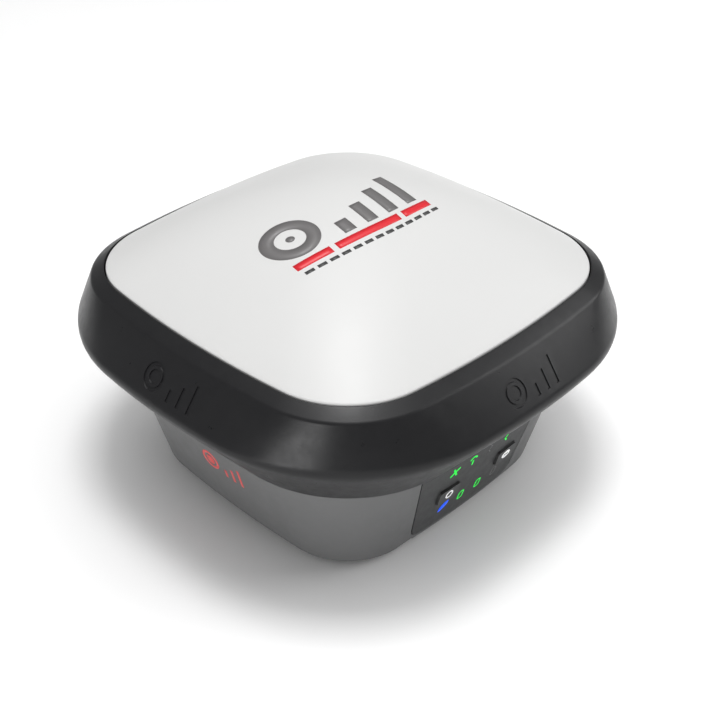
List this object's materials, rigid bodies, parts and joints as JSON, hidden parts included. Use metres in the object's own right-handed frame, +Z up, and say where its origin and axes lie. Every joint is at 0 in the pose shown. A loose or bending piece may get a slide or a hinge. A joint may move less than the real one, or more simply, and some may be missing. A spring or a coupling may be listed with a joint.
{
  "type": "gnss receiver",
  "caption": "Square domed satellite surveying receiver with a rubber bumper ring, keypad, battery bay and pole thread.",
  "frame": {"origin": "middle of the pole-mount face that the receiver stands on", "axes": "+Z up, -Y towards the keypad, +Y towards the battery cover"},
  "size_m": [0.173, 0.173, 0.108],
  "materials": {
    "white_plastic": "satin",
    "bumper_rubber": "matte",
    "housing_plastic": "fine moulded texture",
    "panel_plastic": "smooth matte overlay",
    "key_rubber": "smooth",
    "seal_rubber": "matte",
    "steel": "turned",
    "aluminium": "satin",
    "brass": "bright",
    "circuit_board": "solder mask",
    "screening_can": "tinned",
    "black_plastic": "matte",
    "battery_plastic": "satin",
    "patch_ceramic": "matte",
    "light_pipe": "clear",
    "cable": "satin",
    "blank_label": "satin"
  },
  "bodies": {
    "root": {"radome": "white_plastic", "bumper_ring": "bumper_rubber", "lower_housing": "housing_plastic", "midframe": "aluminium", "housing_gasket": "seal_rubber", "radome_gasket": "seal_rubber", "housing_screws": "steel", "radome_screws": "steel", "mount_ring": "steel", "mount_insert": "brass", "mount_screws": "steel", "pressure_vent": "black_plastic", "label_plate": "blank_label", "keypad_panel": "panel_plastic", "key_domes": "steel", "light_pipes": "light_pipe", "status_leds": "light_pipe", "keypad_board": "circuit_board", "keypad_screws": "steel", "keypad_flex": "cable", "battery_bay": "black_plastic", "bay_screws": "steel", "contact_block": "black_plastic", "battery_contacts": "brass", "battery_leads": "cable", "main_board": "circuit_board", "board_screws": "steel", "gnss_shield": "screening_can", "radio_module": "screening_can", "modem_shield": "screening_can", "wireless_antenna": "patch_ceramic", "card_socket": "screening_can", "antenna_standoffs": "brass", "antenna_ground_plane": "aluminium", "antenna_lower_patch": "patch_ceramic", "antenna_upper_patch": "patch_ceramic", "feed_pins": "brass", "lna_shield": "screening_can", "antenna_coax": "cable", "port_seals": "seal_rubber", "data_port_shell": "steel", "data_port_insert": "black_plastic", "data_port_pins": "brass", "data_port_nut": "steel", "antenna_port_shell": "steel", "antenna_port_insert": "black_plastic", "antenna_port_pins": "brass", "antenna_port_nut": "steel"},
    "cover": {"battery_cover": "housing_plastic", "cover_gasket": "seal_rubber", "battery_pack": "battery_plastic"},
    "latch": {"cover_latch": "black_plastic"},
    "power_key": {"power_key": "key_rubber"},
    "function_key": {"function_key": "key_rubber"},
    "data_cap": {"data_port_cap": "seal_rubber"},
    "antenna_cap": {"antenna_port_cap": "seal_rubber"},
    "card": {"memory_card": "black_plastic"}
  },
  "joints": [
    {"name": "battery_cover_slide", "type": "slide", "parent": "root", "child": "cover", "axis": [0, 1, 0], "range_m": [0, 0.06]},
    {"name": "cover_latch_slide", "type": "slide", "parent": "cover", "child": "latch", "axis": [0, 0.2516, 0.9678], "range_m": [0, 0.003]},
    {"name": "power_key_press", "type": "slide", "parent": "root", "child": "power_key", "axis": [0, 0.9678, 0.2516], "range_m": [0, 0.0005], "stiffness_N_per_m": 2500, "springref_m": -0.0001},
    {"name": "function_key_press", "type": "slide", "parent": "root", "child": "function_key", "axis": [0, 0.9678, 0.2516], "range_m": [0, 0.0005], "stiffness_N_per_m": 2500, "springref_m": -0.0001},
    {"name": "data_cap_pull", "type": "slide", "parent": "root", "child": "data_cap", "axis": [0, 0, -1], "range_m": [0, 0.012]},
    {"name": "antenna_cap_pull", "type": "slide", "parent": "root", "child": "antenna_cap", "axis": [0, 0, -1], "range_m": [0, 0.012]},
    {"name": "memory_card_eject", "type": "slide", "parent": "root", "child": "card", "axis": [0, 1, 0], "range_m": [-0.0008, 0.004]}
  ]
}
